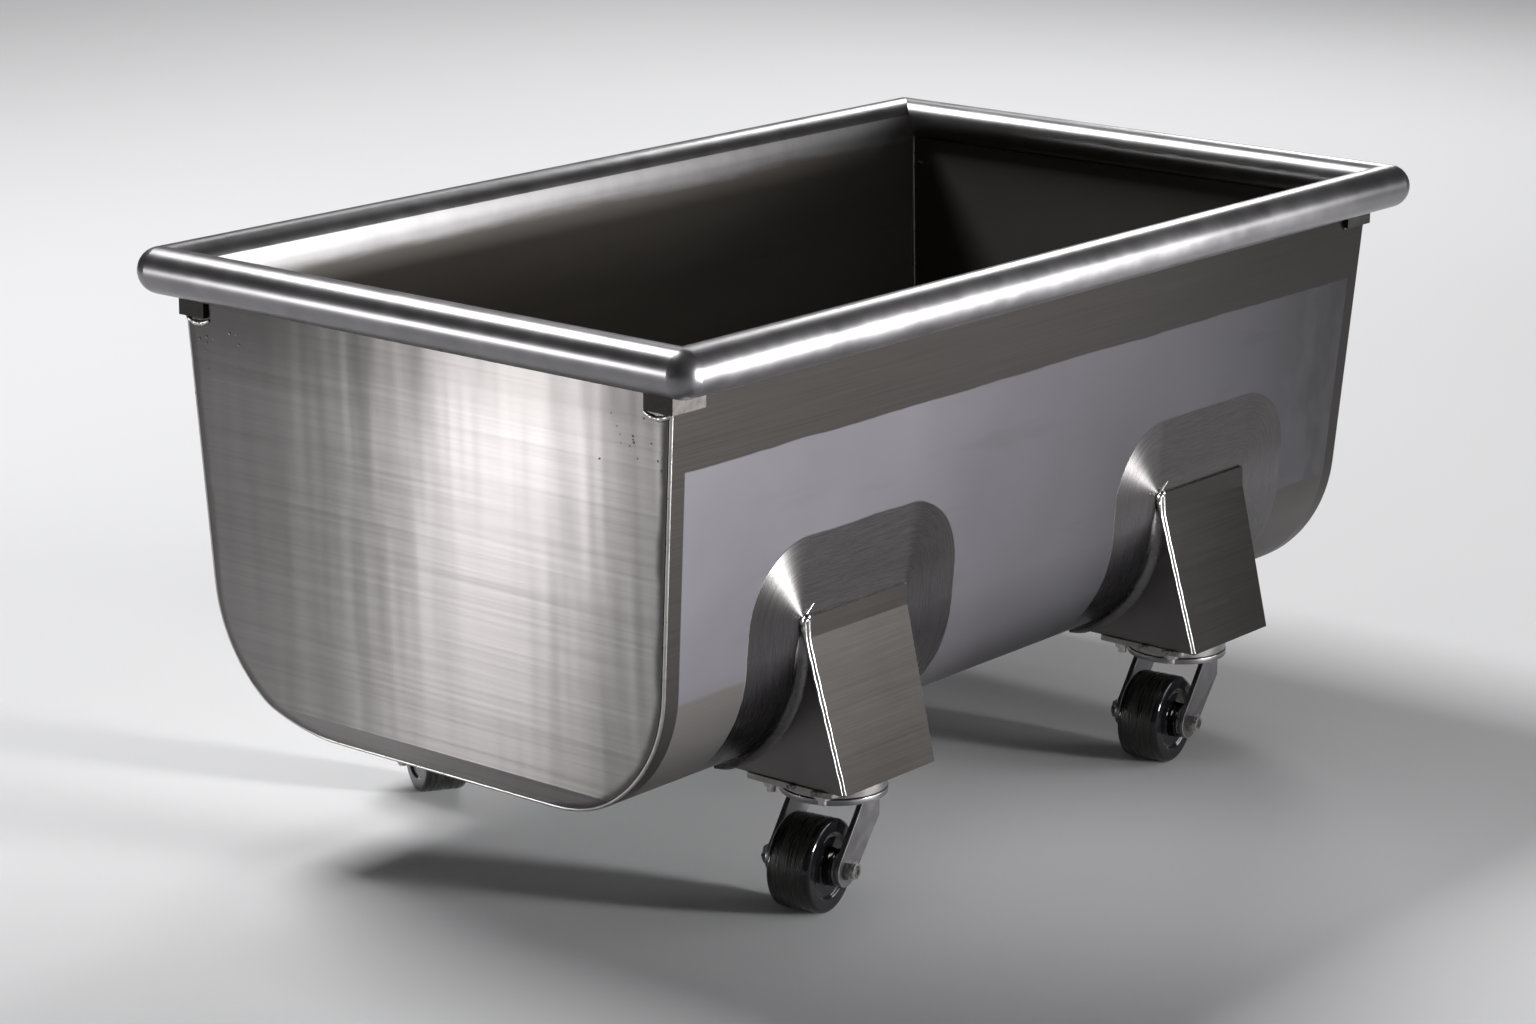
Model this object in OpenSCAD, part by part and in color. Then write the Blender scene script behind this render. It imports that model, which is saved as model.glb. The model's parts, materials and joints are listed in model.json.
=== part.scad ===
// Dough trough on four swivel casters.
// Millimetres, +Z up, +X along the length. The origin is on the floor under the middle of the trough.
// Front is the -Y side, left is the -X side.

/* [Trough] */
// Length over the rim
trough_l = 1350; // [1200:5:1700]
// Width over the rim
trough_w = 772; // [720:1:900]
// Height from the floor to the top of the rim
trough_h = 658; // [600:1:800]
// Thickness of the side, bottom and end sheets
sheet_t = 2.5; // [1.5:0.1:4]
// Lean of the long sides, in degrees from upright
side_lean = 3.7; // [1:0.1:6]
// Lean of the ends, in degrees from upright
end_lean = 2.4; // [0:0.1:4]
// Outer radius of the bend between a side and the bottom
bottom_r = 165; // [120:1:200]
// Height of the inward break along the foot of each end sheet
break_h = 30; // [15:1:50]
// How far the break carries the foot of the end sheet inward
break_in = 13; // [4:1:25]
// Width of the weld that runs round the edge of each end sheet
seam_w = 4; // [3:0.5:8]

/* [Rim] */
// Outer diameter of the rim tube
rim_d = 50.8; // [40:0.1:60]
// Wall of the rim tube
rim_wall = 2; // [1.2:0.1:4]
// From the middle of the rim tube in to the outer face of a side
side_inset = 20.5; // [14:0.1:23]
// From the middle of the rim tube in to the outer face of an end
end_inset = 10; // [6:0.5:22]
// Length of a corner gusset along the side
gusset_side_l = 50; // [30:1:80]
// Length of a corner gusset along the end
gusset_end_l = 37; // [20:1:60]
// How far a corner gusset stands proud of the sheets
gusset_proud = 5; // [3:0.5:10]
// From the middle of the rim tube down to the foot of a corner gusset
gusset_drop = 46; // [36:1:60]

/* [Leg pods] */
// From the middle of the trough to the middle of a pod, along the length
pod_x = 325; // [260:1:420]
// Height of a pod, from its foot to its top edge
pod_h = 184; // [150:1:230]
// Width of a pod at its top edge
pod_top_w = 171; // [150:1:220]
// Width of a pod at its foot
pod_foot_w = 154; // [140:1:200]
// From the middle of the trough out to the front face of a pod, at the foot
pod_out = 371; // [362:1:385]
// Thickness of the pod plates
pod_t = 3; // [2:0.5:5]
// Height of the steep lip at the top of the front plate
lip_h = 22; // [10:1:40]
// How far that lip leans out
lip_out = 2; // [1:0.5:6]
// Thickness of the base plate that closes the foot
base_t = 6; // [4:0.5:10]
// How far the foot of a pod is above the underside of the trough
pod_lift = 5.5; // [0:0.5:10]

/* [Casters] */
// From the middle of the trough to a kingpin, across the width
kingpin_y = 297; // [285:1:302]
// Caster plate along the length of the trough
plate_x = 158.8; // [152:0.1:164]
// Caster plate across the trough
plate_y = 114.3; // [112:0.1:120]
// Thickness of the caster plate
plate_t = 6.35; // [4:0.05:10]
// Corner radius of the caster plate
plate_r = 8; // [3:1:12]
// Distance between the studs along the length
stud_x = 125.4; // [120:0.1:138]
// Distance between the studs across the width
stud_y = 68; // [60:0.5:86]
// Diameter of the studs
stud_d = 9.5; // [8:0.5:10]
// How far a stud hangs below the caster plate
stud_drop = 14.5; // [11:0.5:18]
// Stud nut across its flats
stud_nut_af = 14.3; // [13:0.1:16]
// Height of the stud nut
stud_nut_h = 8; // [5:0.5:10]
// Trail, from the kingpin back to the axle
trail = 48; // [40:1:54]
// Diameter of the kingpin
kingpin_d = 16; // [12:0.5:20]
// Kingpin nut across its flats
kingpin_nut_af = 30; // [26:1:32]
// Height of the kingpin nut
kingpin_nut_h = 8; // [6:0.5:10]
// Radius of the dome of the kingpin nut
kingpin_dome_r = 22.5; // [18:0.5:40]
// Outer diameter of the upper race
race_d = 114; // [108:1:116]
// Height of the upper race
race_h = 12.35; // [9:0.05:16]
// Diameter of the swivel balls
ball_d = 7.9; // [6:0.1:8]
// Pitch diameter of the ring of swivel balls
ball_pitch_d = 88; // [80:1:96]
// Number of swivel balls in a caster
ball_count = 20; // [10:1:24]
// Gap between the upper race and the crown of the fork
swivel_gap = 1.5; // [1:0.1:3]

/* [Forks] */
// Diameter of the fork's crown
crown_d = 115; // [106:1:118]
// Thickness of the fork's crown
crown_t = 6.35; // [6:0.05:10]
// Gap between the top of the wheel and the crown
crown_gap = 16.5; // [12:0.1:30]
// Distance between the two legs of a fork
fork_gap = 76; // [70:0.5:82]
// Thickness of a fork leg
leg_t = 6.35; // [4:0.05:8]
// Radius of the rounded end of a leg
leg_end_r = 19; // [16:0.5:24]
// How far the leg's upper edge reaches towards the wheel from the kingpin
leg_fore = 14; // [8:1:24]
// How far the leg's upper edge reaches away from the wheel
leg_aft = 20; // [14:1:30]
// Length of the upright stretch of the leg's back edge
leg_upright = 27; // [15:1:34]

/* [Wheels] */
// Diameter of a wheel
wheel_d = 101.6; // [90:0.1:110]
// Width of a wheel without its hub
wheel_w = 51; // [44:0.5:58]
// Width of the flat part of the tread
tread_w = 42; // [34:0.5:44]
// Diameter at which the round shoulder meets the side of the wheel
shoulder_d = 93; // [86:1:98]
// Outer diameter of the recess round the hub
recess_d = 66; // [56:1:76]
// Depth of that recess
recess = 3; // [1:0.5:5]
// Small bevel on the corners of the hub and in the recess
hub_bevel = 1; // [0.5:0.1:1.5]
// Diameter of the axle
axle_d = 12.7; // [10:0.1:14]
// Outer diameter of the sleeve on the axle
sleeve_d = 17; // [16:0.5:20]
// Outer diameter of the wheel bearing
bearing_d = 26; // [23:0.5:30]
// Outer diameter of the hub
hub_d = 40; // [36:0.5:44]
// Thickness of the washers beside the hub
washer_t = 2.4; // [1:0.1:3]
// Outer diameter of those washers
washer_d = 38; // [30:0.5:42]
// Axle nut and bolt head across the flats
axle_af = 19; // [17:0.5:24]
// Height of the axle nut's hexagon
axle_hex_h = 7.7; // [5:0.1:10]
// Diameter of the round collar on the axle nut
axle_collar_d = 17; // [15.5:0.1:17]
// How far that collar stands out past the hexagon
axle_collar_h = 3.3; // [2:0.1:5]
// How far the end of the bolt is set back in the collar
bolt_end_in = 2.2; // [0.5:0.1:4]
// Height of the axle bolt's head
axle_head_h = 9; // [5:0.5:10]

/* [Fits] */
// Gap all round between a shaft and the bore that turns on it
running_gap = 0.05; // [0.02:0.01:0.1]
// Gap between parts that stand side by side
side_gap = 0.3; // [0.1:0.05:0.5]
// Gap all round between a stud or bolt and its hole
bolt_gap = 0.1; // [0.05:0.05:0.5]

/* [Swivel at rest] */
// Angle from +X to the trail of the front left caster, in degrees
angle_front_left = 189; // [0:1:359]
// Angle from +X to the trail of the front right caster, in degrees
angle_front_right = 187; // [0:1:359]
// Angle from +X to the trail of the back left caster, in degrees
angle_back_left = 240; // [0:1:359]
// Angle from +X to the trail of the back right caster, in degrees
angle_back_right = 205; // [0:1:359]

/* [Hidden] */
// Curve quality
$fn = 96;
// A cut that has to pass right through reaches this far past
past = 5;

// Corner of the trough: name, sign along X, sign along Y, angle of the trail
CORNERS = [
    ["front_left", -1, -1, angle_front_left],
    ["front_right", 1, -1, angle_front_right],
    ["back_left", -1, 1, angle_back_left],
    ["back_right", 1, 1, angle_back_right]
];
FIXED = [
    "side_and_bottom_sheet", "left_end_sheet", "right_end_sheet", "end_seam_welds",
    "front_rim_tube", "back_rim_tube", "left_rim_tube", "right_rim_tube",
    "rim_corner_caps", "corner_gussets",
    "caster_studs", "caster_stud_nuts", "upper_races", "swivel_balls", "kingpins", "kingpin_nuts"
];
PER_CORNER = [
    "pod_front_plate", "pod_side_plates", "pod_base_plate", "caster_plate",
    "fork", "axle_bolt", "axle_nut", "axle_sleeve", "hub_washers", "wheel", "wheel_bearing"
];

// Rim: the middle line of the tube
rim_r = rim_d / 2;
rim_z = trough_h - rim_r;
rim_x = trough_l / 2 - rim_r;
rim_y = trough_w / 2 - rim_r;

// Caster: heights from the floor up
axle_z = wheel_d / 2;
crown_z = wheel_d + crown_gap;
race_z = crown_z + crown_t + swivel_gap;
plate_z = race_z + race_h;
pod_z = plate_z + plate_t;
tub_z = pod_z - pod_lift;
pod_top = pod_z + pod_h;

// Tub: the outer face of a side at height z, and the middle of the bottom bend
function side_y(z) = rim_y - side_inset - (rim_z - z) * tan(side_lean);
function end_x(z) = rim_x - end_inset - (rim_z - z) * tan(end_lean);
bend_z = tub_z + bottom_r;
bend_y = side_y(bend_z) - bottom_r / cos(side_lean);
break_z = tub_z + break_h;

// Run a section drawn in Y and Z along the whole trough
module along_x(l) {
    rotate([90, 0, 90]) linear_extrude(height = l, center = true) children();
}

// Run a section drawn in X and Z across the trough
module along_y(l) {
    rotate([90, 0, 0]) linear_extrude(height = l, center = true) children();
}

// The tub's cross-section as one long block, drawn in from the outer face by inset
module tub_length(inset) {
    r = bottom_r - inset;
    half = [
        [side_y(rim_z) - inset / cos(side_lean), rim_z],
        [bend_y + r * cos(side_lean), bend_z - r * sin(side_lean)],
        [bend_y, bend_z - r]
    ];
    along_x(trough_l) polygon(concat(half, [for (i = [2:-1:0]) [-half[i][0], half[i][1]]]));
    for (s = [-1, 1]) translate([0, s * bend_y, bend_z]) rotate([0, 90, 0])
        cylinder(r = r, h = trough_l, center = true);
}

// Outline of the tub seen from the front, drawn in at both ends by inset
module tub_side_view(inset) {
    foot = tub_z - past;
    foot_x = end_x(break_z) - break_in * (break_z - foot) / break_h;
    half = [
        [end_x(rim_z) - inset, rim_z],
        [end_x(break_z) - inset, break_z],
        [foot_x - inset, foot]
    ];
    polygon(concat(half, [for (i = [2:-1:0]) [-half[i][0], half[i][1]]]));
}

// The whole tub as a solid block
module tub_block() {
    intersection() {
        tub_length(0);
        along_y(trough_w) tub_side_view(0);
    }
}

// The four rim tubes as solid bars, to cut what runs up to them
module rim_bars() {
    for (s = [-1, 1]) {
        translate([0, s * rim_y, rim_z]) rotate([0, 90, 0])
            cylinder(r = rim_r, h = 2 * rim_x, center = true);
        translate([s * rim_x, 0, rim_z]) rotate([90, 0, 0])
            cylinder(r = rim_r, h = 2 * rim_y, center = true);
    }
}

// One of the two ends of the tub: a plate of the sheet's thickness, cut to the section given
module end_slab(s) {
    intersection() {
        difference() {
            along_y(trough_w) tub_side_view(0);
            along_y(trough_w + past) tub_side_view(sheet_t);
        }
        translate([s * trough_l / 2, 0, rim_z / 2])
            cube([trough_l, trough_w, trough_h], center = true);
    }
}

// Sides and bottom in one bent sheet
module side_and_bottom_sheet() {
    color([0.66, 0.65, 0.66])
    difference() {
        intersection() {
            tub_length(0);
            along_y(trough_w) tub_side_view(sheet_t);
        }
        tub_length(sheet_t);
        rim_bars();
    }
}

// End sheet inside the seam weld
module end_sheet(s) {
    color([0.75, 0.73, 0.73])
    difference() {
        intersection() {
            end_slab(s);
            tub_length(seam_w);
        }
        rim_bars();
    }
}
module left_end_sheet() { end_sheet(-1); }
module right_end_sheet() { end_sheet(1); }

// Ground welds that join the end sheets to the side sheet
module end_seam_welds() {
    color([0.85, 0.85, 0.85])
    difference() {
        intersection() {
            union() {
                end_slab(-1);
                end_slab(1);
            }
            tub_length(0);
        }
        tub_length(seam_w);
        rim_bars();
    }
}

// Plan outline that leaves one rim tube between its two mitres. l and w are half the frame
module mitre(l, w) {
    reach = rim_d;
    linear_extrude(height = trough_h + past)
        polygon([
            [-l, -w - reach], [l, -w - reach], [l, -w], [l - reach, -w + reach],
            [reach - l, -w + reach], [-l, -w]
        ]);
}

// Rim tube on the -Y side of a frame of half length l and half width w
module rim_tube(l, w) {
    color([0.8, 0.8, 0.82])
    intersection() {
        translate([0, -w, rim_z]) rotate([0, 90, 0]) difference() {
            cylinder(r = rim_r, h = 2 * l, center = true);
            cylinder(r = rim_r - rim_wall, h = 2 * l + past, center = true);
        }
        mitre(l, w);
    }
}
module front_rim_tube() { rim_tube(rim_x, rim_y); }
module back_rim_tube() { mirror([0, 1, 0]) rim_tube(rim_x, rim_y); }
module left_rim_tube() { rotate([0, 0, -90]) rim_tube(rim_y, rim_x); }
module right_rim_tube() { rotate([0, 0, 90]) rim_tube(rim_y, rim_x); }

// Put something made for the +X +Y corner on the corner given
module at_corner(sx, sy) {
    mirror([sx < 0 ? 1 : 0, 0, 0]) mirror([0, sy < 0 ? 1 : 0, 0]) children();
}

// Round caps that close the outside of the mitres
module rim_corner_caps() {
    color([0.8, 0.8, 0.82])
    for (c = CORNERS) at_corner(c[1], c[2])
        intersection() {
            translate([rim_x, rim_y, rim_z]) difference() {
                sphere(r = rim_r);
                sphere(r = rim_r - rim_wall);
            }
            translate([rim_x, rim_y, rim_z - rim_d]) cube([rim_d, rim_d, 2 * rim_d]);
        }
}

// Corner gussets under the rim
module corner_gussets() {
    foot = rim_z - gusset_drop;
    color([0.6, 0.6, 0.6])
    for (c = CORNERS) at_corner(c[1], c[2])
        difference() {
            translate([
                end_x(foot) + gusset_proud - gusset_side_l,
                side_y(foot) + gusset_proud - gusset_end_l,
                foot
            ]) cube([gusset_side_l, gusset_end_l, gusset_drop]);
            tub_block();
            rim_bars();
        }
}

// Front of a pod seen from the side: outer face, drawn in by inset
function pod_face(inset) = [
    [side_y(pod_top) + pod_t - inset, pod_top],
    [side_y(pod_top) + pod_t + lip_out - inset, pod_top - lip_h],
    [pod_out - inset, pod_z]
];

// Pod seen from the front, drawn in at both sides by inset
module pod_front_view(inset) {
    top = pod_top_w / 2 - inset;
    foot = pod_foot_w / 2 - inset;
    polygon([[-foot, pod_z], [foot, pod_z], [top, pod_top], [-top, pod_top]]);
}

// What is inside a pod, between its front plate and the middle of the tub
module pod_inside() {
    face = pod_face(pod_t);
    along_x(pod_top_w + past) polygon(concat(face, [[0, pod_z], [0, pod_top]]));
}

// Bent front plate of a pod
module pod_front_plate(c) {
    color([0.55, 0.53, 0.52])
    at_corner(c[1], c[2]) difference() {
        translate([pod_x, 0, 0]) intersection() {
            along_x(pod_top_w + past)
                polygon(concat(pod_face(0), [for (i = [2:-1:0]) pod_face(pod_t)[i]]));
            along_y(trough_w) pod_front_view(0);
        }
        tub_block();
    }
}

// The two side plates of a pod, cut to the curve of the tub
module pod_side_plates(c) {
    color([0.5, 0.48, 0.48])
    at_corner(c[1], c[2]) difference() {
        translate([pod_x, 0, 0]) intersection() {
            pod_inside();
            along_y(trough_w) difference() {
                pod_front_view(0);
                pod_front_view(pod_t);
            }
        }
        tub_block();
    }
}

// Places of the four studs round a kingpin
module at_studs() {
    for (i = [-1, 1]) for (j = [-1, 1])
        translate([pod_x + i * stud_x / 2, kingpin_y + j * stud_y / 2, 0]) children();
}

// Base plate that closes the foot of a pod, with the holes that its studs are welded into
module pod_base_plate(c) {
    color([0.5, 0.48, 0.48])
    at_corner(c[1], c[2]) difference() {
        translate([pod_x, 0, 0]) intersection() {
            pod_inside();
            along_y(trough_w) pod_front_view(pod_t);
            translate([0, 0, pod_z + base_t / 2])
                cube([trough_l, trough_w, base_t], center = true);
        }
        tub_block();
        at_studs() translate([0, 0, pod_z - past])
            cylinder(d = stud_d + 2 * bolt_gap, h = base_t + 2 * past);
    }
}

// Rectangle with round corners
module round_rect(w, h, r) {
    square([w - 2 * r, h], center = true);
    square([w, h - 2 * r], center = true);
    for (i = [-1, 1]) for (j = [-1, 1])
        translate([i * (w / 2 - r), j * (h / 2 - r)]) circle(r = r);
}

// Caster plate, held under the base plate by the studs
module caster_plate(c) {
    color([0.62, 0.62, 0.62])
    at_corner(c[1], c[2]) difference() {
        translate([pod_x, kingpin_y, plate_z]) linear_extrude(height = plate_t)
            round_rect(plate_x, plate_y, plate_r);
        at_studs() translate([0, 0, plate_z - past])
            cylinder(d = stud_d + 2 * bolt_gap, h = plate_t + 2 * past);
        translate([pod_x, kingpin_y, plate_z - past])
            cylinder(d = kingpin_d + 2 * bolt_gap, h = plate_t + 2 * past);
    }
}

// Studs that stand in the base plates and hang below the caster plates, with round ends
module caster_studs() {
    l = stud_drop + plate_t + base_t;
    color([0.85, 0.85, 0.85])
    for (c = CORNERS) at_corner(c[1], c[2]) at_studs()
        translate([0, 0, plate_z - stud_drop]) intersection() {
            cylinder(d = stud_d, h = l);
            translate([0, 0, l]) sphere(r = l);
        }
}
module caster_stud_nuts() {
    color([0.7, 0.7, 0.7])
    for (c = CORNERS) at_corner(c[1], c[2]) at_studs()
        translate([0, 0, plate_z - stud_nut_h]) difference() {
            cylinder(d = stud_nut_af / cos(30), h = stud_nut_h, $fn = 6);
            translate([0, 0, -past]) cylinder(d = stud_d, h = stud_nut_h + 2 * past);
        }
}

// Ring of the swivel ball race, and the groove that the balls run in
ball_r = ball_d / 2;
ball_z = race_z - swivel_gap / 2;
module ball_groove() {
    rotate_extrude() translate([ball_pitch_d / 2, ball_z]) circle(r = ball_r + running_gap);
}
module upper_races() {
    color([0.45, 0.45, 0.46])
    for (c = CORNERS) at_corner(c[1], c[2]) translate([pod_x, kingpin_y, 0])
        difference() {
            translate([0, 0, race_z]) cylinder(d = race_d, h = race_h);
            translate([0, 0, race_z - past])
                cylinder(d = kingpin_d + 2 * bolt_gap, h = race_h + 2 * past);
            ball_groove();
        }
}
module swivel_balls() {
    color([0.7, 0.7, 0.72])
    for (c = CORNERS) at_corner(c[1], c[2]) translate([pod_x, kingpin_y, ball_z])
        for (i = [0:ball_count - 1]) rotate([0, 0, i * 360 / ball_count])
            translate([ball_pitch_d / 2, 0, 0]) sphere(r = ball_r, $fn = 48);
}

// Kingpins hang from the caster plates and carry the forks on a nut
module kingpins() {
    color([0.6, 0.6, 0.6])
    for (c = CORNERS) at_corner(c[1], c[2]) translate([pod_x, kingpin_y, 0])
        translate([0, 0, crown_z - kingpin_nut_h])
            cylinder(d = kingpin_d, h = pod_z - crown_z + kingpin_nut_h);
}
module kingpin_nuts() {
    color([0.6, 0.6, 0.6])
    for (c = CORNERS) at_corner(c[1], c[2])
        translate([pod_x, kingpin_y, crown_z - side_gap - kingpin_nut_h]) difference() {
            intersection() {
                cylinder(d = kingpin_nut_af / cos(30), h = kingpin_nut_h, $fn = 6);
                translate([0, 0, kingpin_dome_r]) sphere(r = kingpin_dome_r);
            }
            translate([0, 0, -past]) cylinder(d = kingpin_d, h = kingpin_nut_h + 2 * past);
        }
}

// Put something made with its kingpin on the Z axis and its trail along +X in its place
module at_kingpin(c) {
    translate([c[1] * pod_x, c[2] * kingpin_y, 0]) rotate([0, 0, c[3]]) children();
}

// Turn a shape made along +Z so that it lies on the axle, from y = start along +Y
module on_axle(start) {
    translate([trail, start, axle_z]) rotate([-90, 0, 0]) children();
}

// Side view of a fork leg: round end at the axle, with straight edges that run into it
module leg_shape() {
    back = [-leg_aft, crown_z - leg_upright];
    fore = [leg_fore, crown_z];
    axle = [trail, axle_z];
    // Where the straight line from p meets the round end. s picks the side
    function tangent(p, s) = let (
        d = axle - p,
        dist = norm(d),
        a = atan2(d[1], d[0]) + s * asin(leg_end_r / dist),
        reach = sqrt(dist * dist - leg_end_r * leg_end_r)
    ) p + reach * [cos(a), sin(a)];
    polygon([
        [-leg_aft, crown_z], fore, tangent(fore, 1), axle, tangent(back, -1), back
    ]);
    translate(axle) circle(r = leg_end_r);
}

// Fork: a round crown with the lower ball groove, and two legs under it
module fork(c) {
    color([0.68, 0.67, 0.66])
    at_kingpin(c) difference() {
        union() {
            translate([0, 0, crown_z]) cylinder(d = crown_d, h = crown_t);
            for (s = [-1, 1]) translate([0, s * (fork_gap + leg_t) / 2, 0])
                rotate([90, 0, 0]) linear_extrude(height = leg_t, center = true) leg_shape();
        }
        translate([0, 0, crown_z - past])
            cylinder(d = kingpin_d + 2 * running_gap, h = crown_t + 2 * past);
        ball_groove();
        on_axle(-fork_gap) cylinder(d = axle_d + 2 * bolt_gap, h = 2 * fork_gap);
    }
}

// Axle bolt with its head on the inner leg
module axle_bolt(c) {
    outer = fork_gap / 2 + leg_t;
    color([0.7, 0.7, 0.7])
    at_kingpin(c) {
        on_axle(-outer)
            cylinder(d = axle_d, h = 2 * outer + axle_hex_h + axle_collar_h - bolt_end_in);
        on_axle(-outer - axle_head_h) cylinder(d = axle_af / cos(30), h = axle_head_h, $fn = 6);
    }
}

// Lock nut on the outer leg, with a round collar
module axle_nut(c) {
    nut_h = axle_hex_h + axle_collar_h;
    color([0.7, 0.7, 0.7])
    at_kingpin(c) on_axle(fork_gap / 2 + leg_t) difference() {
        union() {
            cylinder(d = axle_af / cos(30), h = axle_hex_h, $fn = 6);
            cylinder(d = axle_collar_d, h = nut_h);
        }
        translate([0, 0, -past]) cylinder(d = axle_d, h = nut_h + 2 * past);
    }
}

// Sleeve that is clamped between the legs, for the bearing to run on
module axle_sleeve(c) {
    l = fork_gap - 2 * side_gap;
    color([0.75, 0.75, 0.76])
    at_kingpin(c) on_axle(-l / 2) difference() {
        cylinder(d = sleeve_d, h = l);
        translate([0, 0, -past]) cylinder(d = axle_d + 2 * bolt_gap, h = l + 2 * past);
    }
}

// Washers between the hub and the legs
hub_l = fork_gap - 2 * (washer_t + 2 * side_gap);
module hub_washers(c) {
    color([0.7, 0.7, 0.7])
    at_kingpin(c) for (s = [-1, 1])
        on_axle(s * (fork_gap / 2 - side_gap - washer_t / 2) - washer_t / 2) difference() {
            cylinder(d = washer_d, h = washer_t);
            translate([0, 0, -past])
                cylinder(d = sleeve_d + 2 * bolt_gap, h = washer_t + 2 * past);
        }
}

// Moulded wheel: half of its section, from the bore out to the tread. The hub stands out at the side
wheel_half = let (
    side = wheel_w / 2,
    web = side - recess,
    tread_r = wheel_d / 2,
    // Round shoulder between the side of the wheel and its tread
    shoulder = [for (a = [90:-15:0]) [
        shoulder_d / 2 + (tread_r - shoulder_d / 2) * cos(a),
        tread_w / 2 + (side - tread_w / 2) * sin(a)
    ]]
) concat([
    [bearing_d / 2, hub_l / 2], [hub_d / 2 - hub_bevel, hub_l / 2],
    [hub_d / 2, hub_l / 2 - hub_bevel], [hub_d / 2, web + hub_bevel],
    [hub_d / 2 + hub_bevel, web], [recess_d / 2 - hub_bevel, web], [recess_d / 2 + recess, side]
], shoulder);
module wheel(c) {
    n = len(wheel_half);
    color([0.06, 0.06, 0.06])
    at_kingpin(c) on_axle(0) rotate_extrude()
        polygon(concat(wheel_half, [for (i = [n - 1:-1:0]) [wheel_half[i][0], -wheel_half[i][1]]]));
}

// Bearing that is pressed into the wheel and runs on the sleeve
module wheel_bearing(c) {
    color([0.6, 0.6, 0.62])
    at_kingpin(c) on_axle(-hub_l / 2) difference() {
        cylinder(d = bearing_d, h = hub_l);
        translate([0, 0, -past])
            cylinder(d = sleeve_d + 2 * running_gap, h = hub_l + 2 * past);
    }
}

side_and_bottom_sheet();
left_end_sheet();
right_end_sheet();
end_seam_welds();
front_rim_tube();
back_rim_tube();
left_rim_tube();
right_rim_tube();
rim_corner_caps();
corner_gussets();
caster_studs();
caster_stud_nuts();
upper_races();
swivel_balls();
kingpins();
kingpin_nuts();
for (c = CORNERS) {
    pod_front_plate(c);
    pod_side_plates(c);
    pod_base_plate(c);
    caster_plate(c);
    fork(c);
    axle_bolt(c);
    axle_nut(c);
    axle_sleeve(c);
    hub_washers(c);
    wheel(c);
    wheel_bearing(c);
}
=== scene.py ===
import json
import math
import random

import bmesh
import bpy
from mathutils import Matrix, Vector


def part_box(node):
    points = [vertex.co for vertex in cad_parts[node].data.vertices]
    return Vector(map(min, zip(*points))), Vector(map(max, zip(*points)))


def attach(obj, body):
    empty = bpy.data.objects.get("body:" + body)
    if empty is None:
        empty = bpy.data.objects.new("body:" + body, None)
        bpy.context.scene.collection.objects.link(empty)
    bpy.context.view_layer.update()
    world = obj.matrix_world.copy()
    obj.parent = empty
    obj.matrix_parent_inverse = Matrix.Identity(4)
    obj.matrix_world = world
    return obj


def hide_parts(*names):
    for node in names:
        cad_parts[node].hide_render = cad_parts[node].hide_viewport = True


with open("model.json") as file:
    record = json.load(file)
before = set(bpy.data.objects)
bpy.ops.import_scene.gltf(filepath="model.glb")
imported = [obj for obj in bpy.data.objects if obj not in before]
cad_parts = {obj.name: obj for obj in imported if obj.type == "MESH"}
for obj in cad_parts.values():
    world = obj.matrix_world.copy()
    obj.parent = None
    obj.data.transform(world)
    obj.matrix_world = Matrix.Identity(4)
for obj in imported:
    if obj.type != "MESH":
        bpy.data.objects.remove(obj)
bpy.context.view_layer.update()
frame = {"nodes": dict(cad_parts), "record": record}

# Camera: it stands off the left front corner, above the rim, and looks down along the trough.
# Its place, heading, dip, tilt and lens are those of the photograph, which is 1536 by 1024.
eye = Vector((-3.5113, -2.7729, 1.5146))
heading, dip, tilt = math.radians(51.127), math.radians(15.204), math.radians(-0.600)
image_w = 1536
lens_px = 4052.5
sight = 60
ahead = Vector((
    math.sin(heading) * math.cos(dip), math.cos(heading) * math.cos(dip), -math.sin(dip)
))
level = Vector((math.cos(heading), -math.sin(heading), 0))
right = math.cos(tilt) * level + math.sin(tilt) * ahead.cross(level)
camera = bpy.data.objects.new("camera", bpy.data.cameras.new("camera"))
camera.matrix_world = Matrix.LocRotScale(
    eye, Matrix((right, right.cross(ahead), -ahead)).transposed().to_quaternion(), None
)
camera.data.lens = lens_px / image_w * camera.data.sensor_width
camera.data.clip_end = sight
bpy.context.scene.collection.objects.link(camera)
bpy.context.scene.camera = camera

# Side and bottom sheet: one 2.5 mm stainless sheet, bent along each side into the round bottom.
# Its middle keeps the mill finish. It is ground under the rim, along the end welds and, low
# down, beside the ends, and polished in an arch round each leg pod, where welds were dressed.
rim_z = sum(v.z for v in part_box("front_rim_tube")) / 2
rim_y = -sum(v.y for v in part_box("front_rim_tube")) / 2
rim_x = -sum(v.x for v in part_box("left_rim_tube")) / 2
tub_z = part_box("side_and_bottom_sheet")[0].z
side_lean, end_lean = math.radians(3.7), math.radians(2.4)
side_inset, end_inset = 0.0205, 0.010
bottom_r = 0.165
bend_z = tub_z + bottom_r
pod_x = sum(v.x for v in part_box("pod_front_plate_front_right")) / 2
pod_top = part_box("pod_front_plate_front_right")[1].z
pod_half = 0.0855
# Where each finish ends: heights, widths, how far a hand-ground edge strays and how soft it is
mill_foot, mill_top = 0.281, 0.523
seam_strip, arch_w = 0.022, 0.088
stray, soft = 0.0025, 0.001
# Where the painted shade on the arch above the pod starts and is full
arch_top_from, arch_top_full = pod_top - 0.03, pod_top + 0.03
# Where the painted shade on the round bottom starts and is full
belly_shade_from, belly_shade_full = 0.245, 0.165
handled_from, handled_full = 0.42, 0.57
polish_from, polish_full, polish_rag = 0.606, 0.622, 0.010
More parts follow.
